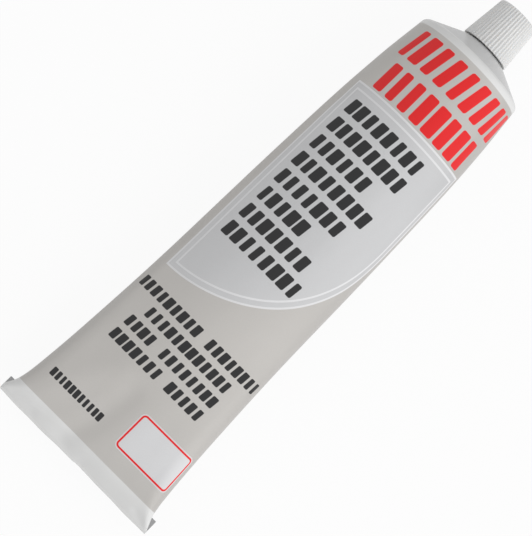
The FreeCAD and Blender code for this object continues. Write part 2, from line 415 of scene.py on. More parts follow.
class BarPrint:
    """The node group that draws rows of bars."""

    INPUTS = ("Left", "Top", "Pitch", "Height", "Rows", "Cell", "Shortest", "Longest", "Seed")
    MORE_INPUTS = ("Slant", "Corner", "Centred", "Gaps")
    SOFTNESS = 0.06
    WIDTHS = (0.56, 0.86)
    ROW_SEED, CELL_SEED, GAP_SEED = 7.13, 3.71, 31.7

    def __init__(self) -> None:
        """Builds the group once."""
        self.tree = bpy.data.node_groups.new("bar_rows", "ShaderNodeTree")
        self.tree.interface.new_socket("Place", in_out="INPUT", socket_type="NodeSocketVector")
        for name in self.INPUTS + self.MORE_INPUTS:
            self.tree.interface.new_socket(name, in_out="INPUT", socket_type="NodeSocketFloat")
        self.tree.interface.new_socket("Mask", in_out="OUTPUT", socket_type="NodeSocketFloat")
        self._fill(Graph(self.tree))

    def _fill(self, g: Graph) -> None:
        """Adds the nodes: which row and cell a place is in, and how far it lies from that cell's bar."""
        given = g.add("NodeGroupInput").outputs
        place = g.add("ShaderNodeSeparateXYZ", None, {0: given["Place"]}).outputs
        down = g.math("SUBTRACT", given["Top"], place[1])
        row = g.math("FLOOR", g.math("DIVIDE", down, given["Pitch"]))
        inside = g.math("SUBTRACT", down, g.math("MULTIPLY", row, given["Pitch"]))
        row_seed = g.math("ADD", g.math("MULTIPLY", row, self.ROW_SEED), given["Seed"])
        length = g.between(self._random(g, row_seed), given["Shortest"], given["Longest"])
        spare = g.math("SUBTRACT", given["Longest"], length)
        spare = g.math("MULTIPLY", spare, g.math("MULTIPLY", given["Centred"], 0.5))
        lean = g.math("MULTIPLY", g.math("SUBTRACT", given["Height"], inside), given["Slant"])
        across = g.math("SUBTRACT", place[0], g.math("ADD", g.math("ADD", given["Left"], spare), lean))
        cell = g.math("FLOOR", g.math("DIVIDE", across, given["Cell"]))
        within = g.math("SUBTRACT", across, g.math("MULTIPLY", cell, given["Cell"]))
        cell_seed = g.math("ADD", g.math("MULTIPLY", cell, self.CELL_SEED), row_seed)
        width = g.math("MULTIPLY", given["Cell"], g.ramp(self._random(g, cell_seed), 0.0, 1.0, *self.WIDTHS))
        side = self._past(g, within, given["Cell"], width, given["Corner"])
        edge = self._past(g, inside, given["Height"], given["Height"], given["Corner"])
        distance = g.rounded(side, edge, given["Corner"])
        mask = g.ramp(distance, -self.SOFTNESS, self.SOFTNESS, 1.0, 0.0)
        cells = g.math("FLOOR", g.math("DIVIDE", length, given["Cell"]))
        limits = (
            g.math("GREATER_THAN", row, -0.5),
            g.math("LESS_THAN", row, g.math("SUBTRACT", given["Rows"], 0.5)),
            g.math("GREATER_THAN", cell, -0.5),
            g.math("LESS_THAN", cell, g.math("SUBTRACT", cells, 0.5)),
            g.math("GREATER_THAN", self._random(g, g.math("ADD", cell_seed, self.GAP_SEED)), given["Gaps"]),
        )
        for limit in limits:
            mask = g.math("MULTIPLY", mask, limit)
        g.add("NodeGroupOutput", None, {"Mask": mask})

    @staticmethod
    def _past(g: Graph, value: object, room: object, size: object, corner: object) -> bpy.types.NodeSocket:
        """How far a value lies past the inner line of a bar that stands in the middle of its room."""
        away = g.math("ABSOLUTE", g.math("SUBTRACT", value, g.math("MULTIPLY", room, 0.5)))
        return g.math("ADD", g.math("SUBTRACT", away, g.math("MULTIPLY", size, 0.5)), corner)

    @staticmethod
    def _random(g: Graph, seed: object) -> bpy.types.NodeSocket:
        """A fixed random number for a seed."""
        return g.add("ShaderNodeTexWhiteNoise", {"noise_dimensions": "1D"}, {"W": seed}).outputs["Value"]

    def draw(self, g: Graph, place: object, along: object, plan: Sequence[BarRows]) -> bpy.types.NodeSocket:
        """Uses the group once in a material, with the sizes of the rows that a place is among.

        Args:
            g: The material's graph.
            place: Print coordinates in millimetres.
            along: The print coordinate along the sleeve.
            plan: The rows to draw, from the tail up.

        Returns:
            The rows' mask.
        """
        node = g.add("ShaderNodeGroup", {"node_tree": self.tree}, {"Place": place})
        borders = [(low.top + high.foot) / 2 for low, high in zip(plan, plan[1:])]
        above = [g.math("GREATER_THAN", along, border) for border in borders]
        for name in self.INPUTS + self.MORE_INPUTS:
            sizes = [float(getattr(rows, name.lower())) for rows in plan]
            size = sizes[0]
            for share, low, high in zip(above, sizes, sizes[1:]):
                if high != low:
                    inputs = {0: share, 1: high - low, 2: size}
                    size = g.add("ShaderNodeMath", {"operation": "MULTIPLY_ADD"}, inputs).outputs[0]
            g.feed(node.inputs[name], size)
        return node.outputs["Mask"]


@dataclass(frozen=True)
class PrintLayout:
    """Where the print's fields stand on the unrolled sleeve: across from the front's middle, and along."""

    tail_band_end: float = 6.2
    head_band_start: float = 149.1
    cone_start: float = 151.8
    panel_left: float = -20.6
    panel_right: float = 24.0
    panel_top: float = 125.9
    arc_across: float = -20.0
    arc_along: float = 99.0
    arc_radius: float = 43.6
    line_width: float = 0.55
    line_gap: float = 1.9
    patch_across: float = 14.3
    patch_along: float = 17.5
    patch_half: Pair = (9.8, 6.1)
    patch_corner: float = 1.6
    patch_line: float = 0.6
    large_start: float = 124.0
    rows: tuple[BarRows, ...] = (
        BarRows(-20.9, 15.3, 6.0, 2.6, 1, 1.7, 18.8, 18.8, 6.0, corner=0.35),
        BarRows(
            -18.0, 44.65, 5.15, 3.4, 3, 2.6, 33.9, 36.6, 5.0, slant=0.12, corner=0.4, centred=1.0, gaps=0.05
        ),
        BarRows(-23.3, 49.8, 6.0, 3.4, 1, 2.6, 47.0, 47.0, 8.0, slant=0.12, corner=0.4, gaps=0.06),
        BarRows(-16.9, 121.6, 6.52, 4.6, 8, 3.5, 18.0, 31.8, 2.0, slant=0.12),
        BarRows(-16.2, 135.9, 12.0, 9.1, 1, 4.6, 36.9, 36.9, 9.0, corner=0.7),
        BarRows(-19.6, 147.6, 12.0, 9.4, 1, 4.8, 43.3, 43.3, 4.0, slant=0.18, corner=0.7),
    )


@dataclass(frozen=True)
class PrintedLacquer:
    """Silver ink and coloured print on the white enamel of the sleeve and shoulder, with the cap's shade and
    reflection painted grey on the shoulder's cone.
    """

    silver: Colour = (0.53, 0.512, 0.49, 1.0)
    field_colour: Colour = (0.585, 0.587, 0.595, 1.0)
    line_colour: Colour = (0.76, 0.76, 0.77, 1.0)
    patch_colour: Colour = (0.68, 0.68, 0.69, 1.0)
    red: Colour = (0.78, 0.012, 0.014, 1.0)
    black: Colour = (0.014, 0.014, 0.015, 1.0)
    enamel: Colour = ENAMEL
    # Grey of the painted shade and painted reflection of the cap on the shoulder's cone.
    cone_painted_shade: Colour = (0.6, 0.6, 0.6, 1.0)
    layout: PrintLayout = PrintLayout()

    def build(self, bars: BarPrint) -> bpy.types.Material:
        """Makes the material.

        Args:
            bars: The node group that draws rows of bars.

        Returns:
            The material.
        """
        material, g = new_material("printed_lacquer")
        place = g.add("ShaderNodeUVMap", {"uv_map": PRINT_MAP}).outputs[0]
        axes = g.add("ShaderNodeSeparateXYZ", None, {0: place}).outputs
        solid = g.add("ShaderNodeTexCoord").outputs["Object"]
        plan = self.layout
        soft = 0.08

        panel = self._panel_distance(g, axes[0], axes[1])
        inside = g.ramp(panel, -soft, soft, 1.0, 0.0)
        lines = g.math("MAXIMUM", self._line(g, panel, 0.0), self._line(g, panel, -plan.line_gap))
        patch = self._patch_distance(g, axes[0], axes[1])
        patch_field = g.ramp(patch, -soft, soft, 1.0, 0.0)
        patch_edge = self._line(g, patch, -plan.patch_line)
        band = g.math(
            "MAXIMUM",
            g.ramp(axes[1], plan.tail_band_end - soft, plan.tail_band_end + soft, 1.0, 0.0),
            g.ramp(axes[1], plan.head_band_start - soft, plan.head_band_start + soft, 0.0, 1.0),
        )
        printed = bars.draw(g, place, axes[1], plan.rows)
        is_large = g.math("GREATER_THAN", axes[1], plan.large_start)
        large = g.math("MULTIPLY", printed, is_large)
        dark = g.math("SUBTRACT", printed, large)
        red_mask = g.math("MAXIMUM", large, patch_edge)

        cloud = g.noise(g.stretched(solid, (24.0, 60.0, 60.0)), 1.0, 3.0)
        flake = g.noise(solid, 5200.0, 1.0)
        tone = g.math("ADD", g.ramp(cloud, 0.3, 0.7, 0.965, 1.03), g.ramp(flake, 0.3, 0.7, -0.02, 0.02))
        colour = g.blend(inside, self.silver, self.field_colour)
        colour = g.blend(lines, colour, self.line_colour)
        colour = g.blend(patch_field, colour, self.patch_colour)
        colour = g.toned(colour, tone)
        colour = g.blend(dark, colour, self.black)
        colour = g.blend(red_mask, colour, self.red)
        # Painted shade and reflection: past the cone's start the head band's white enamel turns to a grey
        # that stands in for the cap's shadow and its reflection.
        cone_shade = g.ramp(axes[1], plan.cone_start - 0.3, plan.cone_start + 0.3, 0.0, 1.0)
        colour = g.blend(band, colour, g.blend(cone_shade, self.enamel, self.cone_painted_shade))

        # On the sleeve this mask holds only the places that carry ink.
        ink_and_leaf_shade = g.math("MAXIMUM", g.math("MAXIMUM", dark, red_mask), g.math("MAXIMUM", lines, patch_field))
        bare = g.math("SUBTRACT", 1.0, g.math("MAXIMUM", ink_and_leaf_shade, band), clamp=True)
        metallic = g.math("MULTIPLY", bare, g.between(inside, 0.32, 0.25))
        rough = g.between(band, g.ramp(cloud, 0.3, 0.7, 0.36, 0.42), 0.16)

        ripple = g.noise(g.stretched(solid, (300.0, 420.0, 420.0)), 1.0, 2.0)
        edge = g.math("MULTIPLY", g.math("MAXIMUM", dark, red_mask), 0.35)
        height = g.math("ADD", ripple, edge)
        g.surface(
            {
                "Base Color": colour,
                "Metallic": metallic,
                "Roughness": rough,
                "Specular IOR Level": 0.3,
                "Normal": g.bump(0.12, 0.00004, height),
                "Coat Weight": 0.15,
                "Coat Roughness": 0.08,
            }
        )
        return material

    def _panel_distance(self, g: Graph, across: object, along: object) -> bpy.types.NodeSocket:
        """Distance from the light panel's edge, less than 0 inside it: three straight sides and an arc."""
        plan = self.layout
        left = g.math("SUBTRACT", plan.panel_left, across)
        right = g.math("SUBTRACT", across, plan.panel_right)
        top = g.math("SUBTRACT", along, plan.panel_top)
        aside = g.math("MAXIMUM", g.math("SUBTRACT", across, plan.arc_across), 0.0)
        below = g.math("MAXIMUM", g.math("SUBTRACT", plan.arc_along, along), 0.0)
        reach = g.math("SQRT", g.math("ADD", g.math("POWER", aside, 2.0), g.math("POWER", below, 2.0)))
        arc = g.math("SUBTRACT", reach, plan.arc_radius)
        return g.math("MAXIMUM", g.math("MAXIMUM", left, right), g.math("MAXIMUM", top, arc))

    def _patch_distance(self, g: Graph, across: object, along: object) -> bpy.types.NodeSocket:
        """Distance from the edge of the small rounded patch near the tail."""
        plan = self.layout
        sides = []
        middles = (plan.patch_across, plan.patch_along)
        for value, middle, half in zip((across, along), middles, plan.patch_half):
            away = g.math("ABSOLUTE", g.math("SUBTRACT", value, middle))
            sides.append(g.math("SUBTRACT", away, half - plan.patch_corner))
        return g.rounded(sides[0], sides[1], plan.patch_corner)

    def _line(self, g: Graph, distance: object, at: float) -> bpy.types.NodeSocket:
        """Mask of a thin line at one distance from an edge."""
        half = self.layout.line_width / 2
        away = g.math("ABSOLUTE", g.math("SUBTRACT", distance, at))
        return g.ramp(away, half - 0.06, half + 0.06, 1.0, 0.0)


@dataclass(frozen=True)
class FoldEnamel:
    """The tail's fold: white enamel at the bend, and on the leaves above it a metallic grey, darker than the
    sleeve's silver, that is painted shade.
    """

    enamel: Colour = ENAMEL
    # Metallic grey of the painted shade on the leaves behind the sleeve.
    leaf_shade_grey: Colour = (0.38, 0.38, 0.385, 1.0)
    # How far up the leaf the painted shade starts.
    leaf_shade_start: float = 1.1

    def build(self) -> bpy.types.Material:
        """Makes the material, which reads how far up the leaf a place is from the print map."""
        material, g = new_material("fold_enamel")
        place = g.add("ShaderNodeUVMap", {"uv_map": PRINT_MAP}).outputs[0]
        along = g.add("ShaderNodeSeparateXYZ", None, {0: place}).outputs[1]
        solid = g.add("ShaderNodeTexCoord").outputs["Object"]
        cloud = g.noise(g.stretched(solid, (200.0, 60.0, 200.0)), 1.0, 3.0)
        edge = g.math("ADD", along, g.ramp(cloud, 0.3, 0.7, -0.15, 0.15))
        # Painted shade: above the bend the leaves turn from white enamel to a darker metallic grey.
        ink_and_leaf_shade = g.ramp(edge, self.leaf_shade_start - 0.1, self.leaf_shade_start + 0.1, 0.0, 1.0)
        tone = g.ramp(cloud, 0.3, 0.7, 0.95, 1.03)
        g.surface(
            {
                "Base Color": g.toned(g.blend(ink_and_leaf_shade, self.enamel, self.leaf_shade_grey), tone),
                "Metallic": g.math("MULTIPLY", ink_and_leaf_shade, 0.4),
                "Roughness": g.between(ink_and_leaf_shade, 0.24, 0.42),
                "Normal": g.bump(0.2, 0.00005, cloud),
                "Coat Weight": 0.25,
                "Coat Roughness": 0.12,
            }
        )
        return material


@dataclass(frozen=True)
class CapPlastic:
    """White moulded plastic with a fine satin skin."""

    colour: Colour = (0.77, 0.77, 0.765, 1.0)

    def build(self) -> bpy.types.Material:
        """Makes the material."""
        material, g = new_material("cap_plastic")
        solid = g.add("ShaderNodeTexCoord").outputs["Object"]
        cloud = g.noise(solid, 180.0, 3.0)
        grain = g.noise(solid, 3800.0, 2.0)
        tone = g.ramp(cloud, 0.3, 0.7, 0.975, 1.015)
        g.surface(
            {
                "Base Color": g.toned(self.colour[:3], tone),
                "Roughness": g.ramp(cloud, 0.3, 0.7, 0.4, 0.5),
                "Subsurface Weight": 0.2,
                "Subsurface Radius": (0.0012, 0.0011, 0.001),
                "Subsurface Scale": 1.0,
                "Normal": g.bump(0.03, 0.00002, grain),
            }
        )
        return material


@dataclass(frozen=True)
class BareAluminium:
    """Turned and rolled aluminium of the neck, with fine rings from the tool."""

    colour: Colour = (0.72, 0.72, 0.73, 1.0)

    def build(self) -> bpy.types.Material:
        """Makes the material."""
        material, g = new_material("bare_aluminium")
        place = g.add("ShaderNodeUVMap", {"uv_map": PRINT_MAP}).outputs[0]
        rings = g.noise(g.stretched(place, (0.4, 14.0, 1.0)), 1.0, 3.0)
        solid = g.add("ShaderNodeTexCoord").outputs["Object"]
        cloud = g.noise(solid, 260.0, 2.0)
        g.surface(
            {
                "Base Color": g.toned(self.colour[:3], g.ramp(cloud, 0.3, 0.7, 0.92, 1.03)),
                "Metallic": 1.0,
                "Roughness": g.ramp(rings, 0.3, 0.7, 0.24, 0.38),
                "Normal": g.bump(0.2, 0.00002, rings),
            }
        )
        return material


@dataclass(frozen=True)
class FoamLiner:
    """Closed-cell foam of the sealing disc."""

    colour: Colour = (0.78, 0.78, 0.75, 1.0)

    def build(self) -> bpy.types.Material:
        """Makes the material."""
        material, g = new_material("liner_foam")
        solid = g.add("ShaderNodeTexCoord").outputs["Object"]
        cells = g.add("ShaderNodeTexVoronoi", None, {"Vector": solid, "Scale": 3200.0}).outputs["Distance"]
        cloud = g.noise(solid, 500.0, 2.0)
        g.surface(
            {
                "Base Color": g.toned(self.colour[:3], g.ramp(cloud, 0.3, 0.7, 0.93, 1.02)),
                "Roughness": 0.8,
                "Normal": g.bump(0.4, 0.00006, cells),
            }
        )
        return material


# Geometry node trees


class PieceTree:
    """A geometry node tree with named inputs, run once on an object and then turned into its mesh."""

    def __init__(self, name: str, inputs: Sequence[tuple[str, str]]) -> None:
        """Makes the tree's interface.

        Args:
            name: The tree's name.
            inputs: Name and socket type of each input past the geometry.
        """
        self.tree = bpy.data.node_groups.new(name, "GeometryNodeTree")
        self.tree.interface.new_socket("Geometry", in_out="INPUT", socket_type="NodeSocketGeometry")
        self.keys = {}
        for label, kind in inputs:
            socket = self.tree.interface.new_socket(label, in_out="INPUT", socket_type=kind)
            self.keys[label] = socket.identifier
        self.tree.interface.new_socket("Geometry", in_out="OUTPUT", socket_type="NodeSocketGeometry")
        self.graph = Graph(self.tree)
        self.given = self.graph.add("NodeGroupInput").outputs

    def finish(self, geometry: bpy.types.NodeSocket, flat: bool = False) -> None:
        """Ends the tree: instances made real, shading and material set.

        Args:
            geometry: What the tree made.
            flat: Whether the faces stay flat shaded.
        """
        g = self.graph
        real = g.add("GeometryNodeRealizeInstances", None, {0: geometry}).outputs[0]
        shaded = g.add("GeometryNodeSetShadeSmooth", None, {"Geometry": real, "Shade Smooth": not flat})
        dressed = g.add(
            "GeometryNodeSetMaterial",
            None,
            {"Geometry": shaded.outputs[0], "Material": self.given["Finish"]},
        )
        g.add("NodeGroupOutput", None, {0: dressed.outputs[0]})

    def apply(self, name: str, source: bpy.types.Mesh, values: dict, place: Matrix) -> bpy.types.Object:
        """Runs the tree on a mesh and keeps the result as a plain mesh.

        Args:
            name: The new piece's name.
            source: The mesh that the tree starts from.
            values: The inputs' values by name.
            place: Moves the result into the frame.

        Returns:
            The new object.
        """
        start = bpy.data.objects.new(name + "_start", source)
        bpy.context.scene.collection.objects.link(start)
        modifier = start.modifiers.new("tree", "NODES")
        modifier.node_group = self.tree
        for label, value in values.items():
            modifier[self.keys[label]] = value
        depsgraph = bpy.context.evaluated_depsgraph_get()
        mesh = bpy.data.meshes.new_from_object(start.evaluated_get(depsgraph))
        start.modifiers.remove(modifier)
        bpy.data.objects.remove(start)
        mesh.transform(place)
        mesh.name = name
        made = bpy.data.objects.new(name, mesh)
        bpy.context.scene.collection.objects.link(made)
        return made


class RoundPattern(PieceTree):
    """Repeats one sector of a moulding round its axis and welds the sectors into one skin."""

    def __init__(self) -> None:
        """Builds the tree."""
        super().__init__(
            "round_pattern",
            (("Count", "NodeSocketInt"), ("Weld", "NodeSocketFloat"), ("Finish", "NodeSocketMaterial")),
        )
        g = self.graph
        points = g.add("GeometryNodePoints", None, {"Count": self.given["Count"]}).outputs[0]
        index = g.add("GeometryNodeInputIndex").outputs[0]
        step = g.math("DIVIDE", 2 * math.pi, self.given["Count"])
        turn = g.add("ShaderNodeCombineXYZ", None, {"Z": g.math("MULTIPLY", index, step)}).outputs[0]
        copies = g.add(
            "GeometryNodeInstanceOnPoints",
            None,
            {"Points": points, "Instance": self.given["Geometry"], "Rotation": turn},
        )
        real = g.add("GeometryNodeRealizeInstances", None, {0: copies.outputs[0]}).outputs[0]
        near = {"Geometry": real, "Distance": self.given["Weld"]}
        welded = g.add("GeometryNodeMergeByDistance", None, near)
        self.finish(welded.outputs[0])


class ThreadTree(PieceTree):
    """A screw thread's ridge: a trapezoid swept along a helix, fading out at both ends."""

    def __init__(self) -> None:
        """Builds the tree."""
        numbers = ("Radius", "Pitch", "Turns", "Foot", "Crest", "Depth", "Run Out")
        kinds = [(label, "NodeSocketFloat") for label in numbers]
        kinds += [("Steps", "NodeSocketInt"), ("Finish", "NodeSocketMaterial")]
        super().__init__("thread_ridge", kinds)
        g = self.graph
        given = self.given
        rise = g.math("MULTIPLY", given["Pitch"], given["Turns"])
        helix = g.add(
            "GeometryNodeCurveSpiral",
            None,
            {
                "Resolution": given["Steps"],
                "Rotations": given["Turns"],
                "Start Radius": given["Radius"],
                "End Radius": given["Radius"],
                "Height": rise,
                "Reverse": True,
            },
        ).outputs[0]
        level = g.add("GeometryNodeSetCurveNormal", {"mode": "Z_UP"}, {"Curve": helix}).outputs[0]
        share = g.add("GeometryNodeSplineParameter").outputs["Factor"]
        nearest = g.math("MINIMUM", share, g.math("SUBTRACT", 1.0, share))
        thick = g.ramp(nearest, 0.0, given["Run Out"], 0.06, 1.0)
        faded = g.add("GeometryNodeSetCurveRadius", None, {"Curve": level, "Radius": thick}).outputs[0]
        section = g.add(
            "GeometryNodeCurvePrimitiveQuadrilateral",
            {"mode": "POINTS"},
            {
                "Point 1": self._corner(g, 0.0, given["Foot"], 0.5),
                "Point 2": self._corner(g, given["Depth"], given["Crest"], 0.5),
                "Point 3": self._corner(g, given["Depth"], given["Crest"], -0.5),
                "Point 4": self._corner(g, 0.0, given["Foot"], -0.5),
            },
        ).outputs[0]
        swept = g.add(
            "GeometryNodeCurveToMesh",
            None,
            {"Curve": faded, "Profile Curve": section, "Fill Caps": True},
        )
        self.finish(swept.outputs[0], flat=True)

    @staticmethod
    def _corner(g: Graph, out: object, width: object, share: float) -> bpy.types.NodeSocket:
        """One corner of the ridge's section."""
        side = g.math("MULTIPLY", width, share)
        return g.add("ShaderNodeCombineXYZ", None, {"X": out, "Y": side}).outputs[0]


# The tube


@dataclass(frozen=True)
class Dent:
    """A soft hollow or swelling of the thin metal along a path on the unrolled sleeve."""

    path: tuple[Pair, ...]
    width: float
    depth: float
    shape: Shape = Shape.BOWL
    reach: float = 3.2

    def lift(self, across: float, along: float) -> float:
        """How far the metal stands out at a place: negative in a hollow.

        Args:
            across: Print coordinate round the sleeve.
            along: Print coordinate along the sleeve.

        Returns:
            Millimetres.
        """
        far = self.reach * self.width
        if not min(x for _, x in self.path) - far < along < max(x for _, x in self.path) + far:
            return 0.0
        nearest, where = self.nearest(across, along)
        if nearest > far:
            return 0.0
        if self.shape is Shape.CREASE:
            return self.depth * math.sin(math.pi * where) ** 0.6 * math.exp(-nearest / self.width)
        return self.depth * bell(nearest, self.width)

    def nearest(self, across: float, along: float) -> Pair:
        """Distance to the path, and how far along the path its nearest place is, from near 0 to near 1."""
        best, where = math.inf, 0.0
        parts = len(self.path) - 1
        for i, (a, b) in enumerate(zip(self.path, self.path[1:])):
            run = (b[0] - a[0], b[1] - a[1])
            away = (across - a[0], along - a[1])
            square = run[0] ** 2 + run[1] ** 2
            share = min(max((away[0] * run[0] + away[1] * run[1]) / square, 0.0), 1.0)
            distance = math.hypot(away[0] - run[0] * share, away[1] - run[1] * share)
            if distance < best:
                best, where = distance, (i + share) / parts
        return best, min(max(where, 0.03), 0.97)


@dataclass
class Sleeve:
    """The thin metal sleeve and shoulder: flat at the tail, round at the rim, of one girth all along."""

    diameter: float = 35.0
    length: float = 151.5
    bend_depth: float = 0.53
    belly_forward: float = 1.1
    root_half: float = 0.12
    leaf_inset: float = 0.03
    skin_inset: float = 0.02
    shoulder_rise: float = 4.6
    shoulder_round: float = 1.6
    seat_radius: float = 7.2
    neck_radius: float = 4.6
    wave_mean: float = 0.24
    wave_swing: float = 0.13
    wave_middle: float = 15.0
    ripple_swing: float = 0.05
    notch: tuple[float, float, float] = (-3.4, -0.4, 0.3)
    notch_depth: float = 0.12
    columns: int = 200
    rows: int = 250
    crowding: float = 1.25
    law: tuple[tuple[float, float, float, float], ...] = (
        (0.0, 1.000, 0.92, 0.0),
        (0.013, 0.930, 0.92, 0.50),
        (0.036, 0.800, 0.92, 0.90),
        (0.085, 0.700, 0.86, 1.00),
        (0.190, 0.580, 0.74, 0.75),
        (0.370, 0.447, 0.66, 0.30),
        (0.600, 0.363, 0.68, 0.0),
        (0.800, 0.256, 0.74, 0.0),
        (0.910, 0.145, 0.84, 0.0),
        (1.0, 0.0, 1.0, 0.0),
    )
    dents: tuple[Dent, ...] = (
        Dent(((-26.6, 0.8), (-20.5, 6.0), (-16.5, 13.0), (-13.5, 20.0), (-8.0, 27.0)), 4.0, 0.62),
        Dent(((-1.5, 24.0), (-3.0, 12.0), (-6.0, 4.0)), 3.4, -0.95),
        Dent(((7.0, 30.0), (6.0, 14.0), (8.0, 5.0)), 4.5, 0.26),
        Dent(((20.0, 9.0), (19.0, 14.0)), 3.4, -0.18),
        Dent(((-26.4, 0.6), (-19.0, 3.2), (-13.0, 4.4)), 0.9, 0.38, Shape.CREASE),
        Dent(((-23.5, 1.2), (-17.0, 2.2)), 1.5, -0.34),
        Dent(((26.3, 0.6), (22.6, 9.0)), 0.9, 0.3, Shape.CREASE),
        Dent(((24.5, 1.4), (21.5, 3.0)), 1.2, -0.26),
        Dent(((-22.8, 120.0), (-23.6, 131.0)), 2.4, -0.22),
        Dent(((20.5, 130.0), (22.5, 146.0)), 2.6, -0.16),
        Dent(((-21.5, 40.0), (-22.0, 96.0)), 1.3, 0.07),
        Dent(((4.0, 142.0), (12.0, 146.0)), 3.0, -0.08),
        Dent(((44.0, 30.0), (54.0, 26.0)), 7.0, -0.4),
        Dent(((-48.0, 70.0), (-40.0, 82.0)), 8.0, -0.3),
        Dent(((40.0, 105.0), (50.0, 98.0)), 8.0, -0.25),
    )

    @property
    def radius(self) -> float:
        """Radius where the sleeve is round."""
        return self.diameter / 2

    @property
    def quarter(self) -> float:
        """A quarter of the girth, which is also half the width of the flat tail."""
        return math.pi * self.diameter / 4

    def arcs(self, half_width: float, half_thick: float, end_share: float) -> tuple[float, float, float]:
        """The four-arc oval's front radius, the angle at which its arcs meet, and its end radius."""
        end = min(end_share, 0.985) * half_thick
        if half_width - half_thick < 1e-6:
            return half_thick, math.pi / 4, half_thick
        reach = half_width - end
        front = (reach**2 + half_thick**2 - end**2) / (2 * (half_thick - end))
        return front, math.atan2(reach, front - half_thick), end

    def half_thickness(self, half_width: float, end_share: float) -> float:
        """Half-thickness that keeps the girth of the metal.

        Args:
            half_width: Half-width of the section.
            end_share: End radius as a share of the half-thickness.

        Returns:
            Millimetres.
        """
        low = self.root_half
        high = half_width
        for _ in range(44):
            middle = (low + high) / 2
            front, meet, end = self.arcs(half_width, middle, end_share)
            if front * meet + end * (math.pi / 2 - meet) < self.quarter:
                low = middle
            else:
                high = middle
        return (low + high) / 2

    def at(self, share: float) -> tuple[float, float, float]:
        """Spread, end share and forward share at a share of the length, on a smooth curve through the law."""
        law = self.law
        last = len(law) - 1
        i = max(k for k in range(last) if law[k][0] <= share)
        a, b = law[i], law[i + 1]
        before, after = law[max(i - 1, 0)], law[min(i + 2, last)]
        span = b[0] - a[0]
        t = (share - a[0]) / span
        values = []
        for column in (1, 2, 3):
            rise_a = (b[column] - before[column]) / (b[0] - before[0]) * span
            rise_b = (after[column] - a[column]) / (after[0] - a[0]) * span
            values.append(
                (2 * t**3 - 3 * t**2 + 1) * a[column]
                + (t**3 - 2 * t**2 + t) * rise_a
                + (3 * t**2 - 2 * t**3) * b[column]
                + (t**3 - t**2) * rise_b
            )
        return values[0], values[1], values[2]

    def oval_place(
        self, across: float, half_width: float, half_thick: float, end_share: float
    ) -> tuple[Vector, Vector]:
        """A place on the section and its outward direction, by the length round from the front's middle.

        Args:
            across: Length round the section, positive towards -Y.
            half_width: Half-width of the section.
            half_thick: Half-thickness of the section.
            end_share: End radius as a share of the half-thickness.

        Returns:
            Place and direction, each as (y, z).
        """
        front, meet, end = self.arcs(half_width, half_thick, end_share)
        total = front * meet + end * (math.pi / 2 - meet)
        length = abs(across) * total / self.quarter
        back = length > total
        length = 2 * total - length if back else length
        if length <= front * meet:
            angle = length / front
            y, z = front * math.sin(angle), half_thick - front + front * math.cos(angle)
        else:
            angle = meet + (length - front * meet) / end
            y, z = half_width - end + end * math.sin(angle), end * math.cos(angle)
        side = -1.0 if across > 0 else 1.0
        face = -1.0 if back else 1.0
        return Vector((side * y, face * z)), Vector((side * math.sin(angle), face * math.cos(angle)))

    def edge_wave(self, y: float) -> float:
        """How far the tail's lower edge stands in from its lowest line, as pliers and rolling leave it.

        Args:
            y: Place across the tail.

        Returns:
            Millimetres, none of them negative.
        """
        long_wave = self.wave_swing * math.cos((y - self.wave_middle) * 0.165)
        ripple = self.ripple_swing * math.cos(y * 0.61 - 0.4)
        start, end, run = self.notch
        step = smooth(start, start + run, y) * (1 - smooth(end - run, end, y))
        return max(self.wave_mean - long_wave - ripple, 0.0) + self.notch_depth * step

    def section(self, x: float, share: float, surface: Surface) -> None:
        """Adds one section of the sleeve to the surface."""
        spread, end_share, forward = self.at(share)
        half_width = self.radius + spread * (self.quarter - self.radius)
        if share <= 0.0:
            half_width -= self.leaf_inset
            half_thick = self.root_half
        else:
            half_thick = self.half_thickness(half_width, end_share)
        lift = forward * self.belly_forward
        inset = self.skin_inset * smooth(0.0, 0.02, share)
        ring, prints = [], []
        calm = smooth(0.0, 0.008, share) * (1 - smooth(0.94, 0.995, share))
        for j in range(self.columns):
            across = 4 * self.quarter * (j / self.columns - 0.5)
            place, out = self.oval_place(across, half_width, half_thick, end_share)
            shift = sum(dent.lift(across, x) for dent in self.dents) * calm - inset
            shift = max(shift, self.root_half - half_thick)
            place = place + out * shift
            place.x = min(max(place.x, -self.quarter + 0.01), self.quarter - 0.01)
            near = 1 - smooth(0.5, 4.0, x)
            ring.append(Vector((x + self.edge_wave(place.x) * near, place.x, place.y + lift)))
        for j in range(self.columns + 1):
            prints.append((4 * self.quarter * (j / self.columns - 0.5), x))
        surface.add(ring, prints)

    def round_ring(self, x: float, radius: float, along: float, surface: Surface) -> None:
        """Adds a round ring of the shoulder to the surface."""
        ring, prints = [], []
        for j in range(self.columns):
            angle = 2 * math.pi * (j / self.columns - 0.5)
            ring.append(Vector((x, -radius * math.sin(angle), radius * math.cos(angle))))
        for j in range(self.columns + 1):
            prints.append((4 * self.quarter * (j / self.columns - 0.5), along))
        surface.add(ring, prints)

    def shoulder_outline(self) -> list[Pair]:
        """Places along the axis and radii of the shoulder, from the rim to the neck's root."""
        rim_x = self.length - self.shoulder_round
        centre = self.radius - self.shoulder_round
        slope = math.atan2(self.shoulder_rise, self.radius - self.seat_radius)
        turn = math.pi / 2 - slope
        outline = []
        for i in range(1, 11):
            angle = turn * i / 10
            x = rim_x + self.shoulder_round * math.sin(angle)
            outline.append((x, centre + self.shoulder_round * math.cos(angle)))
        start = outline[-1]
        seat_x = self.length + self.shoulder_rise
        for i in range(1, 9):
            share = i / 8
            x = start[0] + (seat_x - start[0]) * share
            outline.append((x, start[1] + (self.seat_radius - start[1]) * share))
        outline.append((seat_x, self.seat_radius - 0.15))
        outline.append((seat_x, self.neck_radius + 0.4))
        outline.append((seat_x, self.neck_radius - 0.3))
        return outline

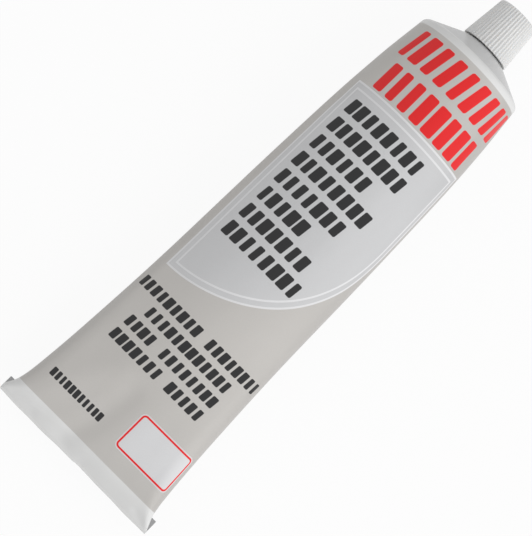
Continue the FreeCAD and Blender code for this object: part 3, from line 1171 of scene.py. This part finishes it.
    def build(self, material: bpy.types.Material) -> bpy.types.Object:
        """Makes the sleeve and shoulder as one skin."""
        surface = Surface("printed_sleeve")
        reach = self.length - self.shoulder_round - self.bend_depth
        for i in range(self.rows + 1):
            share = (i / self.rows) ** self.crowding
            self.section(self.bend_depth + share * reach, min(share, 1.0), surface)
        along = self.length - self.shoulder_round
        before = (self.length - self.shoulder_round, self.radius)
        for x, radius in self.shoulder_outline():
            along += math.dist(before, (x, radius))
            before = (x, radius)
            self.round_ring(x, radius - self.skin_inset, along, surface)

        def close_tail(count: int) -> list[tuple[int, ...]]:
            """Faces across the flat end, from its front wall to its back wall."""
            faces = []
            for k in range(count // 4):
                for side in (1, -1):
                    front = [(count // 2 + side * k) % count, (count // 2 + side * (k + 1)) % count]
                    back = [-side * (k + 1) % count, -side * k % count]
                    faces.append(tuple(dict.fromkeys(front + back)))
            return faces

        piece = surface.build(close_tail)
        sharpen(piece, 42)
        return keep(piece, Body.TUBE, material, "tube")


@dataclass
class RolledTail:
    """The tail's double fold: the flat end rolled over twice and pressed down behind the sleeve."""

    sleeve: Sleeve
    leaf_thickness: float = 0.27
    leaf_step: float = 0.38
    fold_height: float = 5.0
    lean_deg: float = 20.0
    overlap: float = 0.4
    top_wave: float = 0.08
    leaf_sway: float = 0.05
    stations: int = 120
    arc_steps: int = 8

    def _leaning(self, along: float, back: float) -> Pair:
        """A place of the folded leaves, which lean back about the lower bend's middle."""
        lean = math.radians(self.lean_deg)
        u = along - self.sleeve.bend_depth
        v = back - self.leaf_step
        return (
            self.sleeve.bend_depth + u * math.cos(lean) - v * math.sin(lean),
            self.leaf_step + u * math.sin(lean) + v * math.cos(lean),
        )

    def outline(self) -> list[Pair]:
        """The leaf's section as a closed chain of (along, back), outer side first."""
        t = self.leaf_thickness / 2
        bend_x = self.sleeve.bend_depth
        top_x = self.fold_height - self.leaf_step / 2 - 0.15
        turn = math.radians(180 - self.lean_deg)
        outer, inner = 2 * self.leaf_step, self.leaf_step

        def lower(radius: float) -> list[Pair]:
            """Arc about the lower bend's middle, from the front to the leaning outer leaf."""
            spots = []
            for i in range(self.arc_steps + 1):
                angle = -math.pi / 2 - turn * i / self.arc_steps
                spots.append((bend_x + radius * math.cos(angle), inner + radius * math.sin(angle)))
            return spots

        def top(radius: float) -> list[Pair]:
            """Half circle over the top of the leaves, from the outer leaf to the inner one."""
            spots = []
            for i in range(self.arc_steps + 1):
                angle = math.pi / 2 - math.pi * i / self.arc_steps
                back = 1.5 * self.leaf_step + radius * math.sin(angle)
                spots.append(self._leaning(top_x + radius * math.cos(angle), back))
            return spots

        half = self.leaf_step / 2
        outside = [(bend_x + self.overlap, -t)] + lower(self.leaf_step + t)
        outside += top(half + t) + [self._leaning(bend_x + 0.1, inner - t)]
        inside = [self._leaning(bend_x + 0.1, inner + t)] + top(half - t)[::-1]
        inside += lower(self.leaf_step - t)[::-1] + [(bend_x + self.overlap, t)]
        return self._spread(outside + inside)

    @staticmethod
    def _spread(chain: list[Pair]) -> list[Pair]:
        """Divides the chain's long runs, so that the leaves can bend a little along the tail."""
        out = []
        for a, b in zip(chain, chain[1:] + chain[:1]):
            parts = max(1, round(math.dist(a, b) / 0.8))
            for i in range(parts):
                out.append((a[0] + (b[0] - a[0]) * i / parts, a[1] + (b[1] - a[1]) * i / parts))
        return out

    def build(self, material: bpy.types.Material) -> bpy.types.Object:
        """Makes the folded leaf, with the small waves that rolling leaves in it."""
        surface = Surface("folded_tail")
        chain = self.outline()
        half = self.sleeve.quarter
        for i in range(self.stations + 1):
            y = half * (1 - 2 * i / self.stations)
            shift = self.sleeve.edge_wave(y)
            ring = []
            for along, back in chain:
                low = 1 - smooth(0.6, 4.0, along)
                high = smooth(2.5, 4.8, along)
                drop = abs(self.top_wave * math.sin(y * 0.31 + 1.0) * high)
                sway = self.leaf_sway * high * math.sin(y * 0.23)
                ring.append(Vector((along + shift * low - drop, y, sway - back)))
            surface.add(ring, [(y, along) for along, _ in [*chain, chain[0]]])
        piece = surface.build()
        sharpen(piece, 50)
        return keep(piece, Body.TUBE, material, "tube")


@dataclass
class Neck:
    """The neck with its screw thread, closed by a thin skin of metal."""

    threads: ThreadTree
    seat_x: float = 156.1
    height: float = 10.8
    root_radius: float = 4.6
    tip_radius: float = 4.1
    tip_length: float = 2.4
    chamfer: float = 0.4
    root_fillet: float = 0.35
    thread_start: float = 1.7
    pitch: float = 1.5
    depth: float = 0.53
    foot: float = 1.0
    crest: float = 0.4
    turns: float = 3.25
    columns: int = 96
    steps: int = 72

    def build(self, metal: bpy.types.Material) -> list[bpy.types.Object]:
        """Makes the turned neck and its thread."""
        tip_x = self.seat_x + self.height
        base_x = tip_x - self.tip_length
        step = self.root_radius - self.tip_radius
        outline = [(self.seat_x - 0.3, 0.0001), (self.seat_x - 0.3, self.root_radius + self.root_fillet)]
        outline.append((self.seat_x + 0.01, self.root_radius + self.root_fillet))
        for i in range(1, 6):
            angle = math.pi / 2 * i / 5
            outline.append(
                (
                    self.seat_x + self.root_fillet * (1 - math.cos(angle)),
                    self.root_radius + self.root_fillet * (1 - math.sin(angle)),
                )
            )
        outline += [
            (base_x, self.root_radius),
            (base_x + step, self.tip_radius),
            (tip_x - self.chamfer, self.tip_radius),
            (tip_x - 0.02, self.tip_radius - self.chamfer),
            (tip_x - 0.02, self.tip_radius - 1.0),
            (tip_x - 0.25, self.tip_radius - 1.15),
            (tip_x - 0.25, 1.0),
            (tip_x - 0.2, 0.0001),
        ]
        neck = turned_piece("neck", outline, self.columns)
        sharpen(neck, 30)
        keep(neck, Body.TUBE, metal, "tube")
        thread = self.threads.apply(
            "neck_thread",
            bpy.data.meshes.new("neck_thread_start"),
            {
                "Radius": self.root_radius - 0.02,
                "Pitch": self.pitch,
                "Turns": self.turns,
                "Foot": self.foot,
                "Crest": self.crest,
                "Depth": self.depth,
                "Run Out": 0.06,
                "Steps": self.steps,
                "Finish": metal,
            },
            AXES.upright(self.seat_x + self.thread_start),
        )
        keep(thread, Body.TUBE, None, "tube")
        return [neck, thread]


@dataclass
class Cap:
    """The ribbed screw cap: one moulded skin with its bore, and the thread inside it."""

    pattern: RoundPattern
    threads: ThreadTree
    base_x: float = 156.5
    height: float = 13.2
    base_radius: float = 7.55
    top_radius: float = 6.3
    edge_round: float = 0.55
    base_round: float = 0.18
    ribs: int = 44
    rib_depth: float = 0.32
    bore_radius: float = 5.4
    ceiling: float = 11.6
    mouth: float = 0.35
    columns: int = 12
    side_rows: int = 14
    edge_rows: int = 7
    thread_crest: float = 4.87
    thread_offset: float = 2.05
    pitch: float = 1.5
    turns: float = 2.75
    foot: float = 1.0
    crest: float = 0.4
    steps: int = 72

    def outline(self) -> list[tuple[float, float, float]]:
        """Radius, height and share of the rib depth, from the bore's ceiling round the mouth to the top."""
        slope = (self.base_radius - self.top_radius) / (self.height - self.edge_round)
        rows = [(0.0, self.ceiling, 0.0), (2.0, self.ceiling, 0.0), (self.bore_radius, self.ceiling, 0.0)]
        for i in range(1, 5):
            rows.append((self.bore_radius, self.ceiling + (self.mouth - self.ceiling) * i / 4, 0.0))
        rows.append((self.bore_radius + self.mouth, 0.0, 0.0))
        rows.append((self.base_radius - self.rib_depth - self.base_round, 0.0, 0.0))
        for i in range(1, 4):
            angle = math.pi / 2 * i / 3
            height = self.base_round * (1 - math.cos(angle))
            radius = self.base_radius - self.base_round * (1 - math.sin(angle)) - slope * height
            rows.append((radius, height, 0.45 + 0.55 * i / 3))
        for i in range(1, self.side_rows + 1):
            height = self.base_round + (self.height - self.edge_round - self.base_round) * i / self.side_rows
            rows.append((self.base_radius - slope * height, height, 1.0))
        for i in range(1, self.edge_rows + 1):
            angle = math.pi / 2 * i / self.edge_rows
            radius = self.top_radius - self.edge_round * (1 - math.cos(angle))
            height = self.height - self.edge_round * (1 - math.sin(angle))
            rows.append((radius, height, math.cos(angle) ** 0.8 if i < self.edge_rows else 0.0))
        rows += [(5.0, self.height, 0.0), (2.5, self.height, 0.0), (0.9, self.height, 0.0)]
        rows += [(0.7, self.height - 0.12, 0.0), (0.0, self.height - 0.12, 0.0)]
        return rows

    def sector(self) -> bpy.types.Mesh:
        """One rib's share of the skin, from the middle of one groove to the middle of the next."""
        mesh = bpy.data.meshes.new("cap_sector")
        bm = bmesh.new()
        rows = []
        for radius, height, rib_share in self.outline():
            if radius <= 0.0:
                rows.append([bm.verts.new((0.0, 0.0, height))])
                continue
            row = []
            for j in range(self.columns + 1):
                share = j / self.columns
                angle = 2 * math.pi / self.ribs * (share - 0.5)
                groove = 0.5 + 0.5 * math.cos(2 * math.pi * share)
                r = radius - self.rib_depth * rib_share * groove
                row.append(bm.verts.new((r * math.cos(angle), r * math.sin(angle), height)))
            rows.append(row)
        for lower, upper in zip(rows, rows[1:]):
            for j in range(self.columns):
                if len(lower) == 1:
                    bm.faces.new((lower[0], upper[j + 1], upper[j]))
                elif len(upper) == 1:
                    bm.faces.new((lower[j], lower[j + 1], upper[0]))
                else:
                    bm.faces.new((lower[j], lower[j + 1], upper[j + 1], upper[j]))
        bm.to_mesh(mesh)
        bm.free()
        return mesh

    def build(self, plastic: bpy.types.Material) -> list[bpy.types.Object]:
        """Makes the cap's skin and its inner thread."""
        shell = self.pattern.apply(
            "cap_shell",
            self.sector(),
            {"Count": self.ribs, "Weld": 0.004, "Finish": plastic},
            AXES.upright(self.base_x),
        )
        sharpen(shell, 40)
        keep(shell, Body.CAP, None, "cap")
        thread = self.threads.apply(
            "cap_thread",
            bpy.data.meshes.new("cap_thread_start"),
            {
                "Radius": self.bore_radius + 0.02,
                "Pitch": self.pitch,
                "Turns": self.turns,
                "Foot": self.foot,
                "Crest": self.crest,
                "Depth": self.thread_crest - self.bore_radius,
                "Run Out": 0.06,
                "Steps": self.steps,
                "Finish": plastic,
            },
            AXES.upright(self.base_x + self.thread_offset),
        )
        keep(thread, Body.CAP, None, "cap")
        return [shell, thread]


# Floor, light and camera


@dataclass(frozen=True)
class Lamp:
    """A soft square lamp."""

    name: str
    place: tuple[float, float, float]
    size: float
    power: float


@dataclass
class Studio:
    """Pale floor, soft light and the camera at the photograph's angle."""

    floor_half: float = 3.0
    floor_grey: float = 0.86
    floor_white: float = 0.92
    floor_gloss: float = 0.25
    world_light: float = 0.63
    lamps: tuple[Lamp, ...] = (Lamp("key_lamp", (-0.12, -0.95, 0.6), 1.2, 7.5),)
    aim: tuple[float, float, float] = (-0.0119, -0.0001, 0.015)
    tilt_deg: float = 5.9
    side_deg: float = -0.05
    roll_deg: float = 44.86
    distance: float = 0.68
    focal_pixels: float = 2545.0
    sensor: float = 36.0

    def build_floor(self) -> None:
        """Makes the floor, which shows white and keeps the object's shadow."""
        mesh = bpy.data.meshes.new("floor")
        h = self.floor_half
        mesh.from_pydata([(-h, -h, 0), (h, -h, 0), (h, h, 0), (-h, h, 0)], [], [(0, 1, 2, 3)])
        floor = bpy.data.objects.new("floor", mesh)
        bpy.context.scene.collection.objects.link(floor)
        material, g = new_material("floor_paper")
        path = g.add("ShaderNodeLightPath").outputs
        clear = g.math("MAXIMUM", path["Is Camera Ray"], path["Is Transmission Ray"])
        gloss = g.math("MULTIPLY", path["Is Glossy Ray"], self.floor_gloss)
        share = g.math("MAXIMUM", g.math("MULTIPLY", clear, self.floor_white), gloss)
        paper = g.add("ShaderNodeBsdfDiffuse", None, {"Color": grey(self.floor_grey)}).outputs[0]
        white = g.add("ShaderNodeEmission", None, {"Color": grey(1.0), "Strength": 1.0}).outputs[0]
        mixed = g.add("ShaderNodeMixShader", None, {0: share, 1: paper, 2: white}).outputs[0]
        g.add("ShaderNodeOutputMaterial", None, {"Surface": mixed})
        mesh.materials.append(material)
        floor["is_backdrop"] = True

    def build_light(self) -> None:
        """Makes the world and the lamps."""
        world = bpy.data.worlds.new("studio")
        world.use_nodes = True
        g = Graph(world.node_tree)
        path = g.add("ShaderNodeLightPath").outputs
        clear = g.math("MAXIMUM", path["Is Camera Ray"], path["Is Transmission Ray"])
        clear = g.math("MAXIMUM", clear, path["Is Glossy Ray"])
        strength = g.between(clear, self.world_light, 1.0)
        light = g.add("ShaderNodeBackground", None, {"Color": grey(1.0), "Strength": strength})
        g.add("ShaderNodeOutputWorld", None, {"Surface": light.outputs[0]})
        bpy.context.scene.world = world
        for lamp in self.lamps:
            data = bpy.data.lights.new(lamp.name, "AREA")
            data.size = lamp.size
            data.energy = lamp.power
            made = bpy.data.objects.new(lamp.name, data)
            made.location = lamp.place
            made.visible_glossy = False
            made.rotation_mode = "QUATERNION"
            made.rotation_quaternion = (-Vector(lamp.place)).to_track_quat("-Z", "Y")
            bpy.context.scene.collection.objects.link(made)

    def build_camera(self) -> None:
        """Makes the camera, above the tube and turned so that the tube runs up to the right."""
        tilt, side, roll = (math.radians(a) for a in (self.tilt_deg, self.side_deg, self.roll_deg))
        back = Vector((-math.sin(tilt) * math.cos(side), -math.sin(side), math.cos(tilt) * math.cos(side)))
        level_x = (Vector((1, 0, 0)) - back * back.x).normalized()
        level_y = back.cross(level_x)
        right = level_x * math.cos(roll) - level_y * math.sin(roll)
        up = level_x * math.sin(roll) + level_y * math.cos(roll)
        data = bpy.data.cameras.new("camera")
        data.sensor_fit = "AUTO"
        data.sensor_width = self.sensor
        data.lens = self.focal_pixels * self.sensor / IMAGE_LONG_SIDE
        data.clip_start, data.clip_end = 0.01, 20.0
        camera = bpy.data.objects.new("camera", data)
        camera.rotation_mode = "QUATERNION"
        camera.rotation_quaternion = Matrix((right, up, back)).transposed().to_quaternion()
        camera.location = Vector(self.aim) + back * self.distance
        bpy.context.scene.collection.objects.link(camera)
        bpy.context.scene.camera = camera

    def build(self) -> None:
        """Makes the whole studio."""
        self.build_floor()
        self.build_light()
        self.build_camera()
        bpy.context.scene.view_settings.view_transform = "Standard"


def dress_liner() -> None:
    """Gives the sealing disc, whose solid keeps its shape, its foam."""
    disc = frame["nodes"]["cap_liner"]
    disc.data.materials.clear()
    disc.data.materials.append(FoamLiner().build())
    LOG.info("cap_liner: dressed, on body %s", Body.LINER.value)


def corners() -> list[list[float]]:
    """The present bounds as plain lists."""
    return [list(corner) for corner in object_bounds()]


def main() -> None:
    """Builds the tube, the cap and the studio in order."""
    logging.basicConfig(level=logging.INFO, format="%(name)s %(message)s")
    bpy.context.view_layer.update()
    bars = BarPrint()
    metal = BareAluminium().build()
    threads = ThreadTree()
    sleeve = Sleeve()
    sleeve.build(PrintedLacquer().build(bars))
    RolledTail(sleeve).build(FoldEnamel().build())
    Neck(threads).build(metal)
    Cap(RoundPattern(), threads).build(CapPlastic().build())
    dress_liner()
    Studio().build()


if __name__ == "__main__":
    main()
